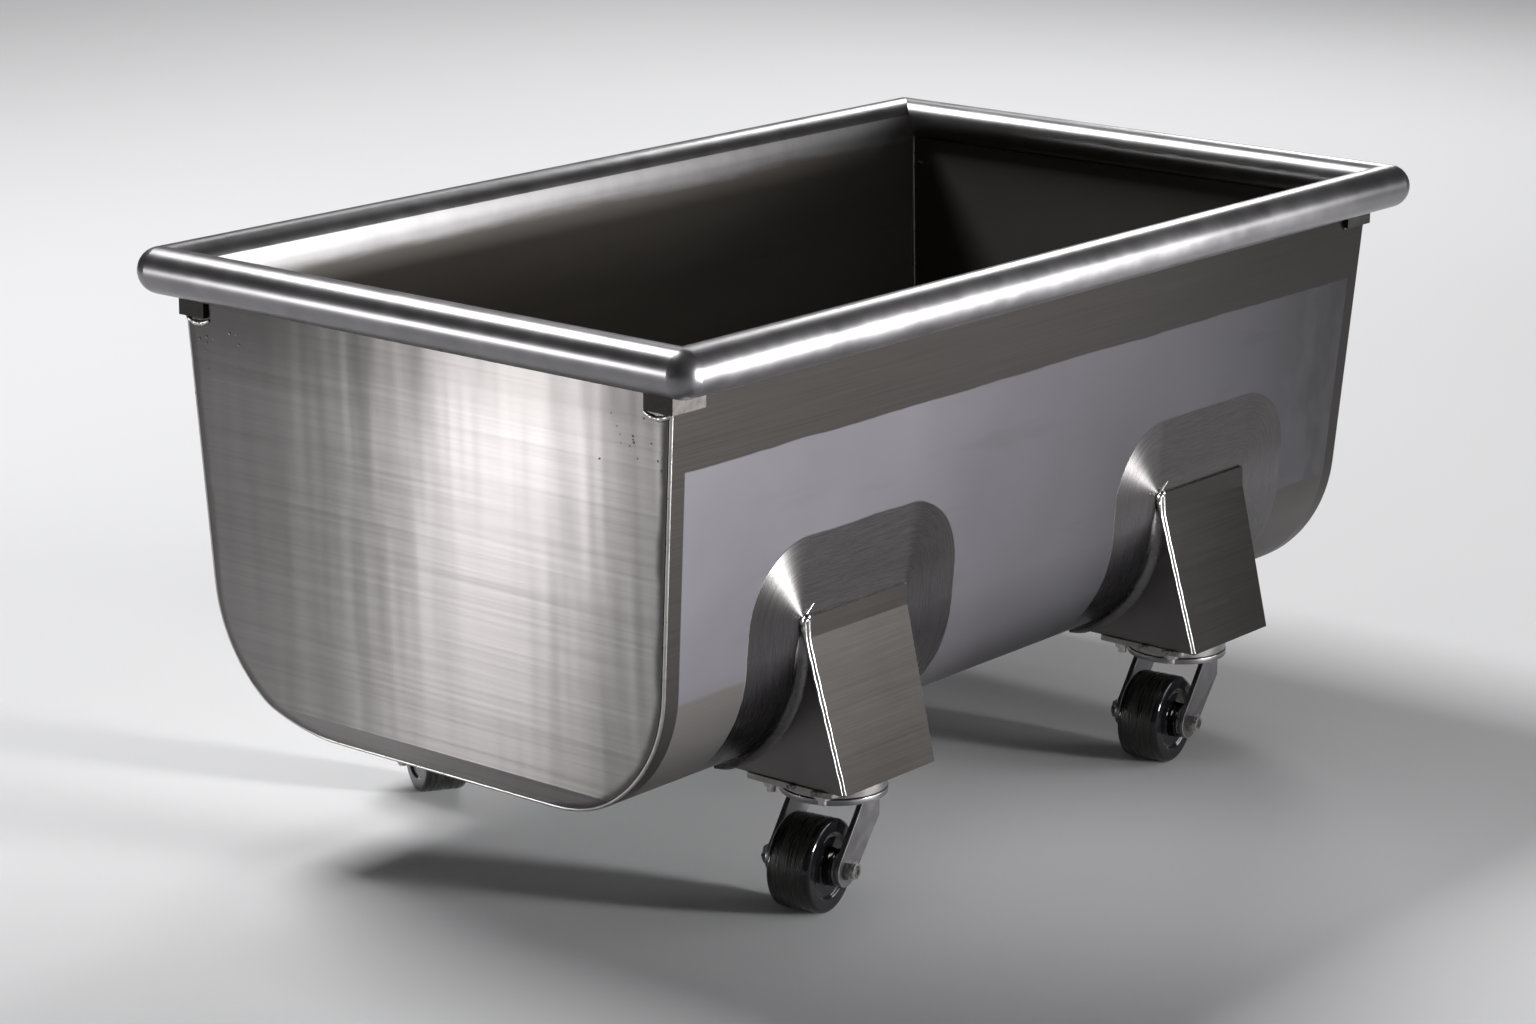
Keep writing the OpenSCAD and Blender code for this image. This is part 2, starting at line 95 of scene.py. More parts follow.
# Colours, as the darker and the lighter tone of each finish, and how rough each one is
mill_tones, mill_rough = ((0.128, 0.124, 0.137), (0.178, 0.173, 0.189)), (0.40, 0.46)
mark_tone, mark_share = (0.08, 0.076, 0.078), 0.12
smear_tone, smear_share = (0.070, 0.067, 0.070), 0.6
strip_tones, strip_rough = ((0.050, 0.045, 0.043), (0.078, 0.072, 0.068)), (0.30, 0.36)
low_strip_tones = (0.105, 0.099, 0.095), (0.145, 0.137, 0.132)
arch_tones, arch_rough = ((0.095, 0.091, 0.093), (0.180, 0.174, 0.178)), (0.25, 0.30)
# Painted shade: darker tones for the arch above the pod
arch_top_shade_tones = (0.062, 0.058, 0.058), (0.135, 0.129, 0.130)
# Painted shade on the round bottom
belly_shade_tone, belly_shade_share = (0.022, 0.020, 0.020), 0.75
inner_tones, inner_rough = ((0.125, 0.113, 0.101), (0.21, 0.193, 0.177)), (0.40, 0.52)
# Inner polished edge: its own tone, lightened as a painted highlight
inner_edge_and_highlight_tones = (0.42, 0.41, 0.415), (0.58, 0.57, 0.575)
inner_brush, outer_brush = 0.5, 0.92
stained_metal, stained_gloss = 0.3, 0.15
# Where the noise becomes a mark or a smear, and how deep dents and scratches are
mark_noise, smear_noise = (0.60, 0.72), (0.40, 0.55)
sheet_dents, sheet_scratches = 0.0010, 0.00004


class Finish:
    """The finish of a surface: a shader, and the nodes that feed it from the place on the piece."""

    def __init__(self, name, metallic=1.0):
        self.material = bpy.data.materials.new(name)
        self.material.use_nodes = True
        self.tree = self.material.node_tree
        self.shader = self.tree.nodes["Principled BSDF"]
        self.set("Metallic", metallic)
        where = self.node("TexCoord")
        self.place, self.facing = where.outputs["Object"], where.outputs["Normal"]
        self.x, self.y, self.z = self.node("SeparateXYZ", self.place).outputs

    def feed(self, socket, value):
        if isinstance(value, bpy.types.NodeSocket):
            self.tree.links.new(value, socket)
        elif socket.type == "RGBA":
            socket.default_value = (*value, 1)
        else:
            socket.default_value = value

    def set(self, name, value):
        self.feed(self.shader.inputs[name], value)

    def node(self, kind, *values, **settings):
        made = self.tree.nodes.new("ShaderNode" + kind)
        for name, value in settings.items():
            setattr(made, name, value)
        for socket, value in zip(made.inputs, values):
            self.feed(socket, value)
        return made

    def calc(self, operation, a, b=0.0):
        return self.node("Math", a, b, operation=operation).outputs[0]

    def vector(self, operation, a, b=(0, 0, 0)):
        """A sum with vectors. A length or a dot product comes out as a number."""
        made = self.node("VectorMath", a, b, operation=operation)
        return made.outputs[1 if operation in ("LENGTH", "DOT_PRODUCT") else 0]

    def join(self, x, y, z):
        return self.node("CombineXYZ", x, y, z).outputs[0]

    def step(self, value, start, full):
        """0 up to start and 1 from full, with a soft change. It falls where full is below start."""
        return self.node("MapRange", value, start, full, interpolation_type="SMOOTHSTEP").outputs[0]

    def span(self, value, low, high):
        """value from 0 to 1 turned into a value from low to high."""
        return self.node("MapRange", value, 0.0, 1.0, low, high).outputs[0]

    def blend(self, share, a, b, kind="FLOAT"):
        """a where share is 0, and b where it is 1."""
        first = {"FLOAT": 2, "VECTOR": 4, "RGBA": 6}[kind]
        made = self.node("Mix", data_type=kind)
        for index, value in ((0, share), (first, a), (first + 1, b)):
            self.feed(made.inputs[index], value)
        return made.outputs[first // 2 - 1]

    def mix(self, share, a, b):
        return self.blend(share, a, b, "RGBA")

    def stain(self, share, strength, tone, under):
        """The colour under, with tone laid over it by share times strength."""
        return self.mix(self.calc("MULTIPLY", share, strength), under, tone)

    def cloud(self, per_metre, detail=2.0, place=None):
        """Soft noise, 0 to 1, with so many patches to the metre, alike or for X, Y and Z."""
        if not isinstance(per_metre, tuple):
            per_metre = (per_metre, per_metre, per_metre)
        made = self.node("TexNoise")
        self.feed(made.inputs["Vector"], self.vector("MULTIPLY", place or self.place, per_metre))
        self.feed(made.inputs["Scale"], 1.0)
        self.feed(made.inputs["Detail"], detail)
        return made.outputs[0]

    def patches(self, cloud, tones, rough):
        """Colour and roughness that change together."""
        self.set("Base Color", self.mix(cloud, *tones))
        self.set("Roughness", self.span(cloud, *rough))

    def relief(self, *layers):
        """Bumps on bumps. Each layer is a height from 0 to 1 and what a height of 1 is in metres."""
        normal = None
        for height, depth in layers:
            bump = self.node("Bump")
            self.feed(bump.inputs["Strength"], 1.0)
            self.feed(bump.inputs["Distance"], depth)
            self.feed(bump.inputs["Height"], height)
            if normal:
                self.feed(bump.inputs["Normal"], normal)
            normal = bump.outputs[0]
        self.set("Normal", normal)

    def brush(self, across, amount):
        """Fine parallel scratches. They spread the gloss along across, square to themselves."""
        turned = self.node(
            "VectorTransform", across, vector_type="VECTOR", convert_from="OBJECT", convert_to="WORLD"
        )
        self.set("Anisotropic", amount)
        self.set("Tangent", turned.outputs[0])

    def on(self, *names):
        """Give this finish to CAD nodes, by name."""
        for name in names:
            materials = frame["nodes"][name].data.materials
            materials.clear()
            materials.append(self.material)


def side_at(z):
    """How far out the outer face of a side is, at height z."""
    return rim_y - side_inset - (rim_z - z) * math.tan(side_lean)


bend_y = side_at(bend_z) - bottom_r / math.cos(side_lean)

sheet = Finish("side_sheet_steel")
# Facing out of the tub or into it, told from a line along the middle of the tub
mid_z = 0.45
from_middle = sheet.vector("SUBTRACT", sheet.place, (0, 0, mid_z))
from_middle = sheet.vector("MULTIPLY", from_middle, (0, 1, 1))
outside = sheet.calc("GREATER_THAN", sheet.vector("DOT_PRODUCT", from_middle, sheet.facing), 0.0)
# The ground strips: under the rim, along the ends, and low down between the pods and the ends
long_x = sheet.calc("ABSOLUTE", sheet.x)
wander = sheet.span(sheet.cloud(14, 3.0), -stray, stray)
height = sheet.calc("ADD", sheet.z, wander)
ground_top = sheet.step(height, mill_top - soft, mill_top + soft)
end_at = sheet.calc("ADD", sheet.calc("MULTIPLY", sheet.z, math.tan(end_lean)),
    rim_x - end_inset - rim_z * math.tan(end_lean) - seam_strip)
ground_end = sheet.step(sheet.calc("SUBTRACT", long_x, end_at), -soft, soft)
ground = sheet.calc("MAXIMUM", ground_top, ground_end)
beside_end = sheet.calc("GREATER_THAN", long_x, pod_x + pod_half)
ground_foot = sheet.step(height, mill_foot + 2 * soft, mill_foot - 2 * soft)
ground_foot = sheet.calc("MULTIPLY", ground_foot, beside_end)
# The arch: how far a place is from the outline of its pod, and the way straight out from it
off_pod = sheet.calc("SUBTRACT", long_x, pod_x)
past_x = sheet.calc("MAXIMUM", sheet.calc("SUBTRACT", sheet.calc("ABSOLUTE", off_pod), pod_half), 0.0)
past_z = sheet.calc("MAXIMUM", sheet.calc("SUBTRACT", sheet.z, pod_top), 0.0)
x_sign = sheet.calc("MULTIPLY", sheet.calc("SIGN", off_pod), sheet.calc("SIGN", sheet.x))
way_out = sheet.join(sheet.calc("MULTIPLY", past_x, x_sign), 0.0, past_z)
from_pod = sheet.vector("LENGTH", way_out)
arch = sheet.step(sheet.calc("ADD", from_pod, wander), arch_w + soft, arch_w - soft)
arch = sheet.calc("MULTIPLY", arch, outside)
# Marks of the grinder: long straight ones on the strips, and drawn-out rings on the arch
drawn_out = 0.03
scratches = sheet.cloud((6, 700, 700), 3.0)
rings = sheet.cloud(900, 3.0, sheet.join(
    from_pod, sheet.calc("MULTIPLY", sheet.x, drawn_out), sheet.calc("MULTIPLY", sheet.z, drawn_out)))
# Mill finish: faint marks all over it, and a smeared patch near the right end from handling
blotch = sheet.cloud(5, 4.0)
marks = sheet.step(sheet.cloud((7, 7, 34), 4.0), *mark_noise)
smear = sheet.calc("MULTIPLY", sheet.step(sheet.cloud((8, 8, 5), 6.0), *smear_noise),
    sheet.step(sheet.x, handled_from, handled_full))
mill = sheet.stain(marks, mark_share, mark_tone, sheet.mix(blotch, *mill_tones))
mill = sheet.stain(smear, smear_share, smear_tone, mill)
# Painted shade: the arch is painted darker above its pod than beside it
above_pod = sheet.step(sheet.z, arch_top_from, arch_top_full)
polished = sheet.mix(above_pod, sheet.mix(rings, *arch_tones), sheet.mix(rings, *arch_top_shade_tones))
tone = sheet.mix(ground_foot, mill, sheet.mix(scratches, *low_strip_tones))
tone = sheet.mix(ground, tone, sheet.mix(scratches, *strip_tones))
tone = sheet.mix(arch, tone, polished)
# Painted shade: the round bottom is painted darker downwards, towards the shaded floor under the tub
tone = sheet.stain(sheet.step(height, belly_shade_from, belly_shade_full), belly_shade_share, belly_shade_tone, tone)
# Inside, the filled edge below the rim is polished with it, down to a ragged line; its light tone is
# partly a painted highlight
smudge = sheet.cloud((2, 9, 9), 5.0)
rag = sheet.span(sheet.cloud((6, 6, 40), 3.0), -polish_rag, polish_rag)
near_rim = sheet.step(sheet.calc("ADD", sheet.z, rag), polish_from, polish_full)
inner = sheet.mix(near_rim, sheet.mix(smudge, *inner_tones),
    sheet.mix(sheet.cloud(30, 5.0), *inner_edge_and_highlight_tones))
sheet.set("Base Color", sheet.mix(outside, inner, tone))
rough = sheet.blend(sheet.calc("MAXIMUM", ground, arch), sheet.span(blotch, *mill_rough),
    sheet.span(scratches, *strip_rough))
rough = sheet.blend(arch, rough, sheet.span(rings, *arch_rough))
sheet.set("Roughness", sheet.blend(outside, sheet.span(smudge, *inner_rough), rough))
sheet.relief((sheet.cloud((1.5, 9, 9), 1.0), sheet_dents),
    (sheet.blend(arch, scratches, rings), sheet_scratches))
sheet.brush(sheet.blend(arch, (0, 0, 1), way_out, "VECTOR"),
    sheet.blend(outside, inner_brush, outer_brush))
# Years of dough acids have left the inside matt, but for its polished edge
sheet.set("Metallic", sheet.calc("MAXIMUM", outside, sheet.span(near_rim, stained_metal, 1.0)))
sheet.set("Specular IOR Level", stained_gloss)
sheet.on("side_and_bottom_sheet")

# End sheets: one flat sheet at each end, with a slight inward break along its foot.
# They are brushed from side to side, which draws the lamps out into upright streaks,
# and dressed along the weld all round their edge.
dressed_from, dressed_full, edge_rag = 0.016, 0.003, 0.005
# Where the painted shade under the rim starts and is full, and how strong it is
rim_shade_from, rim_shade_full, rim_shade_share = 0.50, 0.61, 0.55
band_noise, band_share = (0.45, 0.75), 0.3
end_dents, end_scratches, end_brush = 0.0006, 0.00003, 1.0
end_tones, end_rough = ((0.150, 0.142, 0.141), (0.230, 0.220, 0.218)), (0.22, 0.26)
dressed_tones, dressed_rough = ((0.10, 0.094, 0.092), (0.155, 0.147, 0.144)), 0.34
stain_and_shade_tones, stain_rough = ((0.045, 0.040, 0.035), (0.085, 0.077, 0.069)), (0.52, 0.62)
band_tone, rim_shade_tone = (0.13, 0.122, 0.121), (0.075, 0.070, 0.068)

end = Finish("end_sheet_steel")
# How far a place is from the edge, and the way out to the edge from the middle of its bend
over_bend = end.calc("MAXIMUM", end.calc("SUBTRACT", end.z, bend_z), 0.0)
wide_y = end.calc("SUBTRACT", end.calc("ABSOLUTE", end.y),
    end.calc("MULTIPLY", over_bend, math.tan(side_lean)))
past_y = end.calc("MAXIMUM", end.calc("SUBTRACT", wide_y, bend_y), 0.0)
under_z = end.calc("MAXIMUM", end.calc("SUBTRACT", bend_z, end.z), 0.0)
way_to_edge = end.join(0.0, end.calc("MULTIPLY", past_y, end.calc("SIGN", end.y)),
    end.calc("MULTIPLY", under_z, -1.0))
from_edge = end.calc("SUBTRACT", bottom_r, end.vector("LENGTH", way_to_edge))
ragged = end.span(end.cloud(20, 3.0), -edge_rag, edge_rag)
dressed = end.step(end.calc("ADD", from_edge, ragged), dressed_from, dressed_full)
# Brushed lines, broader dull bands among them, and painted shade under the rim
lines = end.cloud((260, 3, 260), 6.0)
bands = end.step(end.cloud((60, 1.2, 60), 3.0), *band_noise)
rim_shade_mask = end.step(end.calc("ADD", end.z, ragged), rim_shade_from, rim_shade_full)
end_tone = end.stain(bands, band_share, band_tone, end.mix(lines, *end_tones))
end_tone = end.stain(rim_shade_mask, rim_shade_share, rim_shade_tone, end_tone)
end_tone = end.mix(dressed, end_tone, end.mix(end.cloud(8, 4.0), *dressed_tones))
# The face that looks into the tub is dull and stained, and painted darker as shade inside the tub
facing_x = end.node("SeparateXYZ", end.facing).outputs[0]
end_in = end.calc("LESS_THAN", end.calc("MULTIPLY", end.x, facing_x), 0.0)
stains = end.cloud((9, 4, 7), 5.0)
end.set("Base Color", end.mix(end_in, end_tone, end.mix(stains, *stain_and_shade_tones)))
end.set("Roughness", end.blend(end_in,
    end.blend(dressed, end.span(lines, *end_rough), dressed_rough), end.span(stains, *stain_rough)))
end.set("Metallic", end.span(end_in, 1.0, stained_metal))
end.set("Specular IOR Level", stained_gloss)
end.relief((end.cloud((3, 13, 1.5)), end_dents), (lines, end_scratches))
end.brush(end.blend(dressed, (0, 0, 1), way_to_edge, "VECTOR"), end_brush)
end.on("left_end_sheet", "right_end_sheet")

# Welds that join the end sheets to the side sheet, ground round and polished. They run from the
# rim down one side, round the bend, across the bottom and up again, outside and inside.
sheet_t = 0.0025
break_h, break_in = 0.030, 0.013
break_z = tub_z + break_h
outer_r, inner_r = 0.0022, 0.0024
under_rim = rim_z - 0.012
weld_tones, weld_rough = ((0.34, 0.33, 0.325), (0.58, 0.57, 0.56)), (0.22, 0.36)
weld_lumps, weld_grain = 0.0004, 0.00004


def even(low, high, pieces):
    """Evenly spaced values from low to high."""
    return [low + (high - low) * i / pieces for i in range(pieces + 1)]


def end_at_height(z):
    """How far along X the outer face of an end is, at height z."""
    leaning = rim_x - end_inset - (rim_z - max(z, break_z)) * math.tan(end_lean)
    return leaning - break_in * max(break_z - z, 0) / break_h


def tub_outline(inset, pieces=24):
    """Points (y, z) down one side, round the bottom and up the other, drawn in by inset."""
    r = bottom_r - inset
    top = [(side_at(z) - inset / math.cos(side_lean), z) for z in even(under_rim, bend_z, pieces)[:-1]]
    bend = [(bend_y + r * math.cos(a), bend_z - r * math.sin(a))
        for a in even(side_lean, math.pi / 2, pieces)]
    flat = [(y, tub_z + inset) for y in even(bend_y, 0.0, pieces)[1:-1]]
    half = top + bend + flat
    return half + [(0.0, tub_z + inset)] + [(-y, z) for y, z in reversed(half)]


def add_mesh(name, finish, build):
    """A new piece on the trough: build fills its bmesh."""
    sharp = math.radians(40)
    bm = bmesh.new()
    build(bm)
    data = bpy.data.meshes.new(name)
    bm.to_mesh(data)
    bm.free()
    for face in data.polygons:
        face.use_smooth = True
    data.set_sharp_from_angle(angle=sharp)
    data.materials.append(finish.material)
    piece = bpy.data.objects.new(name, data)
    bpy.context.scene.collection.objects.link(piece)
    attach(piece, "trough")
    return piece


def lay_bead(bm, path, radius, ripple=0.0, seed=1, sides=12):
    """A round bead of weld along a path, with closed ends. radius may change along it."""
    dice = random.Random(seed)
    rings = []
    for i, point in enumerate(path):
        before, after = path[max(i - 1, 0)], path[min(i + 1, len(path) - 1)]
        along = (after - before).normalized()
        out = along.orthogonal() if i == 0 else out - out.dot(along) * along
        out.normalize()
        r = (radius[i] if isinstance(radius, list) else radius) * (1 + dice.uniform(-ripple, ripple))
        turns = [Matrix.Rotation(k * 2 * math.pi / sides, 3, along) for k in range(sides)]
        rings.append([point + r * (turn @ out) for turn in turns])
    lay_rings(bm, rings)


def lay_rings(bm, rings):
    """A closed bar through rings of points, each ring the same section further along."""
    made = [[bm.verts.new(p) for p in ring] for ring in rings]
    count = len(made[0])
    for a, b in zip(made, made[1:]):
        for k in range(count):
            bm.faces.new((a[k], a[(k + 1) % count], b[(k + 1) % count], b[k]))
    bm.faces.new(reversed(made[0]))
    bm.faces.new(made[-1])


def lay_drop(bm, place, radius, stretch=(1.0, 1.0, 1.0), rounds=3):
    """A drop of weld metal."""
    shape = Matrix.Translation(place) @ Matrix.Diagonal((*stretch, 1.0))
    bmesh.ops.create_icosphere(bm, subdivisions=rounds, radius=radius, matrix=shape)


weld = Finish("polished_weld_steel")
weld.patches(weld.cloud(60, 4.0), weld_tones, weld_rough)
weld.relief((weld.cloud(90), weld_lumps), (weld.cloud(900), weld_grain))


def seam_beads(bm, inset, radius, back):
    """Both ends: the bead's middle is inset into the section and back from the end's outer face."""
    for side in (-1, 1):
        path = [Vector((side * (end_at_height(z) - back), y, z)) for y, z in tub_outline(inset)]
        lay_bead(bm, path, radius, ripple=0.03, seed=3)


seams = add_mesh("end_seam_beads", weld,
    lambda bm: seam_beads(bm, outer_r, outer_r, outer_r))
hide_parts("end_seam_welds")
add_mesh("inner_seam_beads", weld,
    lambda bm: seam_beads(bm, sheet_t + inner_r / 2, inner_r, sheet_t + inner_r / 2))

# Rim: four lengths of 2 inch stainless tube, mitred and welded at the corners, with the outside
# of each corner closed by a round cap, then ground and polished all over.
rim_tones, rim_rough = ((0.16, 0.157, 0.162), (0.27, 0.263, 0.268)), (0.26, 0.38)
rim_dents, rim_hairs = 0.0006, 0.000015
rim = Finish("polished_rim_steel")
rim.patches(rim.cloud(30, 5.0), rim_tones, rim_rough)
rim.relief((rim.cloud(12, 1.0), rim_dents), (rim.cloud(260, 3.0), rim_hairs))
rim.on("front_rim_tube", "back_rim_tube", "left_rim_tube", "right_rim_tube", "rim_corner_caps")

# Inner edge of the rim: the sheets run smoothly up into the tube, with the weld between them
# filled and ground flush, so that no dough is caught there. It is finished like the sheet.
tube_r = (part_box("front_rim_tube")[1].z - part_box("front_rim_tube")[0].z) / 2
sunk = 0.0008
fill_r, fill_foot = 0.055, 0.500
# Degrees up from the inmost line of the tube: where the filling starts, ends and lies behind
fill_top, fill_knee, fill_behind = 20, 2, -25


def fill_section(pieces=10):
    """Section of the filled inner edge, as (how far out from the middle, height)."""
    def on_tube(r, turn):
        return Vector((rim_y - r * math.cos(turn), rim_z + r * math.sin(turn)))

    def wall_at(z):
        return side_at(z) - sheet_t / math.cos(side_lean)

    turns = [math.radians(a) for a in even(fill_top, fill_knee, pieces)]
    first = turns[0]
    face = [
        on_tube(tube_r, first)
        + fill_r * Vector((math.cos(first) - math.cos(t), math.sin(t) - math.sin(first)))
        for t in turns
    ]
    knee = face[-1]
    for t in even(0, 1, pieces)[1:]:
        ease = t * t * (3 - 2 * t)
        face.append(Vector((
            knee.x + (wall_at(fill_foot) - knee.x) * ease, knee.y + (fill_foot - knee.y) * t)))
    back = [Vector((wall_at(z) + sunk, z)) for z in even(fill_foot, knee.y, pieces)[:-1]]
    back += [on_tube(tube_r - sunk, math.radians(a)) for a in range(fill_behind, fill_top + 1, 5)]
    return face + back


def fill_inner_edges(bm):
    reach = end_at_height(fill_foot)
    section = fill_section()
    for side in (-1, 1):
        lay_rings(bm, [
            [Vector((x, side * p.x, p.y)) for p in section] for x in even(-reach, reach, 40)
        ])
    bmesh.ops.recalc_face_normals(bm, faces=bm.faces)


add_mesh("filled_inner_edges", sheet, fill_inner_edges)

# Weld lines under the rim: outside, each sheet is welded to the underside of the tube.
# They are thin hand-laid stainless beads, brushed but not ground.
thin_bead = 0.0016


def under_rim_beads(bm):
    side_z = rim_z - math.sqrt(tube_r ** 2 - side_inset ** 2)
    end_z = rim_z - math.sqrt(tube_r ** 2 - end_inset ** 2)
    side_y, end_y = side_at(side_z), side_at(end_z)
    side_x, end_x = end_at_height(side_z), end_at_height(end_z)
    for side in (-1, 1):
        along_side = [Vector((x, side * side_y, side_z)) for x in even(-side_x, side_x, 60)]
        along_end = [Vector((side * end_x, y, end_z)) for y in even(-end_y, end_y, 40)]
        lay_bead(bm, along_side, thin_bead, ripple=0.1, seed=5)
        lay_bead(bm, along_end, thin_bead, ripple=0.1, seed=7)


add_mesh("under_rim_weld_lines", weld, under_rim_beads)

# Corner gussets: small steel plates under the rim that brace each corner. Each is welded to the
# end with a lumpy bead and to the side with a thin one, and spatter was left below it.
gusset_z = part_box("corner_gussets")[0].z
bead_along_end, bead_along_side = 0.0333, 0.044
off_corner, droop, swell = 0.002, 0.020, 0.0016
spatter_count, spatter_r = 16, (0.0005, 0.0014)
spatter_in, spatter_down = (0.012, 0.095), (0.006, 0.060)
# The plates' dark tone is partly painted shade under the rim
gusset_and_shade_tones, gusset_rough = ((0.018, 0.016, 0.015), (0.055, 0.052, 0.050)), (0.50, 0.65)
gusset_lumps = 0.0008
gusset = Finish("gusset_steel")
gusset.patches(gusset.cloud(120, 4.0), gusset_and_shade_tones, gusset_rough)
gusset.relief((gusset.cloud(70, 3.0), gusset_lumps))
gusset.on("corner_gussets")


def gusset_welds(bm):
    dice = random.Random(11)
    face_x, face_y = end_at_height(gusset_z), side_at(gusset_z)
    run = even(0, 1, 14)
    for side_x in (-1, 1):
        for side_y in (-1, 1):
            on_end = [
                Vector((side_x * face_x, side_y * (face_y - off_corner - bead_along_end * t),
                    gusset_z - off_corner - droop * (1 - t) * t))
                for t in run
            ]
            lay_bead(bm, on_end, [thin_bead + swell * math.sin(math.pi * t) for t in run],
                ripple=0.22, seed=17)
            on_side = [
                Vector((side_x * (face_x - off_corner - bead_along_side * t), side_y * face_y, gusset_z))
                for t in run
            ]
            lay_bead(bm, on_side, thin_bead, ripple=0.2, seed=19)
            for _ in range(spatter_count):
                y = face_y - dice.uniform(*spatter_in)
                z = gusset_z - dice.uniform(*spatter_down)
                place = Vector((side_x * end_at_height(z), side_y * y, z))
                lay_drop(bm, place, dice.uniform(*spatter_r), rounds=2)


add_mesh("gusset_welds_and_spatter", weld, gusset_welds)

# Leg pods: a bent front plate and two side plates of 3 mm sheet, closed by a base plate, and
# welded to the tub. The front is brushed along the trough and the sides are left duller,
# with a lighter tone that is partly painted light on them.
# Seen from outside, the right front edge is bent round and the left one is welded.
corners = {
    "front_left": (-1, -1), "front_right": (1, -1), "back_left": (-1, 1), "back_right": (1, 1)
}
pod_low, pod_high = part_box("pod_front_plate_front_right")
pod_z, pod_out = pod_low.z, -pod_low.y
pod_top_half, pod_foot_half = (pod_high.x - pod_low.x) / 2, 0.077
pod_t, lip_h, lip_out = 0.003, 0.022, 0.002
pod_tones, pod_rough, pod_brush = ((0.050, 0.046, 0.043), (0.112, 0.104, 0.099)), (0.26, 0.34), 0.8
# Side plate tones are partly painted light
pod_side_lit_tones, pod_side_rough = ((0.10, 0.094, 0.092), (0.19, 0.18, 0.176)), (0.30, 0.42)
pod_dents, pod_scratches, pod_side_dents = 0.0008, 0.00005, 0.0006
pod_bend_r = 0.0014

pod = Finish("pod_plate_steel")
pod_lines = pod.cloud((8, 500, 500), 4.0)
pod.set("Base Color", pod.mix(pod.calc("MULTIPLY", pod.cloud(7, 4.0), pod_lines), *pod_tones))
pod.set("Roughness", pod.span(pod_lines, *pod_rough))
pod.relief((pod.cloud((3, 14, 14)), pod_dents), (pod_lines, pod_scratches))
pod.brush((0, 0, 1), pod_brush)
pod_side = Finish("pod_side_steel")
pod_side.patches(pod_side.cloud(9, 5.0), pod_side_lit_tones, pod_side_rough)
pod_side.relief((pod_side.cloud(14), pod_side_dents))


def round_edges(name, width, worn=None):
    """Round the sharp edges of a CAD piece a little, with another finish on them, worn bright and
    painted as a highlight, if worn is given.
    """
    touching, sharp = 0.000001, math.radians(35)
    piece = frame["nodes"][name]
    join = piece.modifiers.new("join", "WELD")
    join.merge_threshold = touching
    round_off = piece.modifiers.new("round_edges", "BEVEL")
    round_off.width = width
    round_off.segments = 3
    round_off.limit_method = "ANGLE"
    round_off.angle_limit = sharp
    if worn:
        piece.data.materials.append(worn.material)
        round_off.material = 1


for corner in corners:
    pod.on("pod_front_plate_" + corner, "pod_base_plate_" + corner)
    pod_side.on("pod_side_plates_" + corner)
    round_edges("pod_front_plate_" + corner, pod_bend_r)

# Edge welds of the pods: the welded front edge is ground to two ridges that widen upwards.
# A lump closes its top corner, and a tail of weld runs from there onto the wall.
edge_weld_tones, edge_weld_rough = ((0.18, 0.174, 0.172), (0.40, 0.39, 0.385)), (0.24, 0.40)
ridge_foot, ridge_top = pod_z + 0.0015, pod_top - 0.0025
ridge_r, ridge_widens, ridge_swell, swell_h = 0.0010, 0.0008, 0.0024, 0.055
ridge_in, ridge_apart, ridge_step = 0.0010, 0.0016, 0.0010
wave_depth, wave_per_metre = 0.0003, 260
lump_count, lump_r, lump_stretch = 9, (0.0026, 0.0045), (1.0, 0.8, 1.4)
lump_x, lump_y, lump_z = (-0.003, 0.005), (0.000, 0.004), (-0.014, 0.002)
tail_along, tail_up, tail_thick, tail_thins = 0.017, 0.012, 0.0024, 0.0019
tail_sunk = 0.0003
edge_weld_lumps = 0.0005
edge_weld = Finish("pod_edge_weld_steel")
edge_weld.patches(edge_weld.cloud(50, 4.0), edge_weld_tones, edge_weld_rough)
edge_weld.relief((edge_weld.cloud(110), edge_weld_lumps))


def pod_half_at(z):
    """Half the width of a pod at height z."""
    t = (z - pod_z) / (pod_top - pod_z)
    return pod_foot_half + (pod_top_half - pod_foot_half) * t


def pod_face_at(z):
    """How far out the front face of a pod is, at height z. It leans less above its lip."""
    lip_z = pod_top - lip_h
    lip = side_at(pod_top) + pod_t + lip_out
    if z > lip_z:
        return lip - lip_out * (z - lip_z) / lip_h
    return pod_out + (lip - pod_out) * (z - pod_z) / (lip_z - pod_z)


def pod_edge_welds(bm, side_x, side_y):
    dice = random.Random(23)
    middle = side_x * pod_x
    # Left as seen from outside is towards -X at the front, and towards +X at the back
    left = side_y
    for across in (-1, 1):
        path, radius = [], []
        for z in even(ridge_foot, ridge_top, 36):
            swell_here = max(0.0, 1 - (pod_top - z) / swell_h)
            wave = wave_depth * math.sin(z * wave_per_metre + across)
            path.append(Vector((
                middle + left * (pod_half_at(z) - ridge_in + across * ridge_apart + wave),
                side_y * (pod_face_at(z) - ridge_in - across * ridge_step),
                z)))
            radius.append(ridge_r + ridge_widens * (z - pod_z) / (pod_top - pod_z)
                + ridge_swell * swell_here ** 2)
        lay_bead(bm, path, radius, ripple=0.06, seed=29)
    top = Vector((middle + left * pod_half_at(pod_top), side_y * side_at(pod_top), pod_top))
    for _ in range(lump_count):
        lump = top + Vector((
            -left * dice.uniform(*lump_x), side_y * dice.uniform(*lump_y), dice.uniform(*lump_z)))
        lay_drop(bm, lump, dice.uniform(*lump_r), lump_stretch)
    run = even(0, 1, 8)
    tail = [
        Vector((top.x - left * tail_along * t, side_y * (side_at(pod_top + tail_up * t) - tail_sunk),
            pod_top + tail_up * t))
        for t in run
    ]
    lay_bead(bm, tail, [tail_thick - tail_thins * t for t in run], ripple=0.05, seed=31)


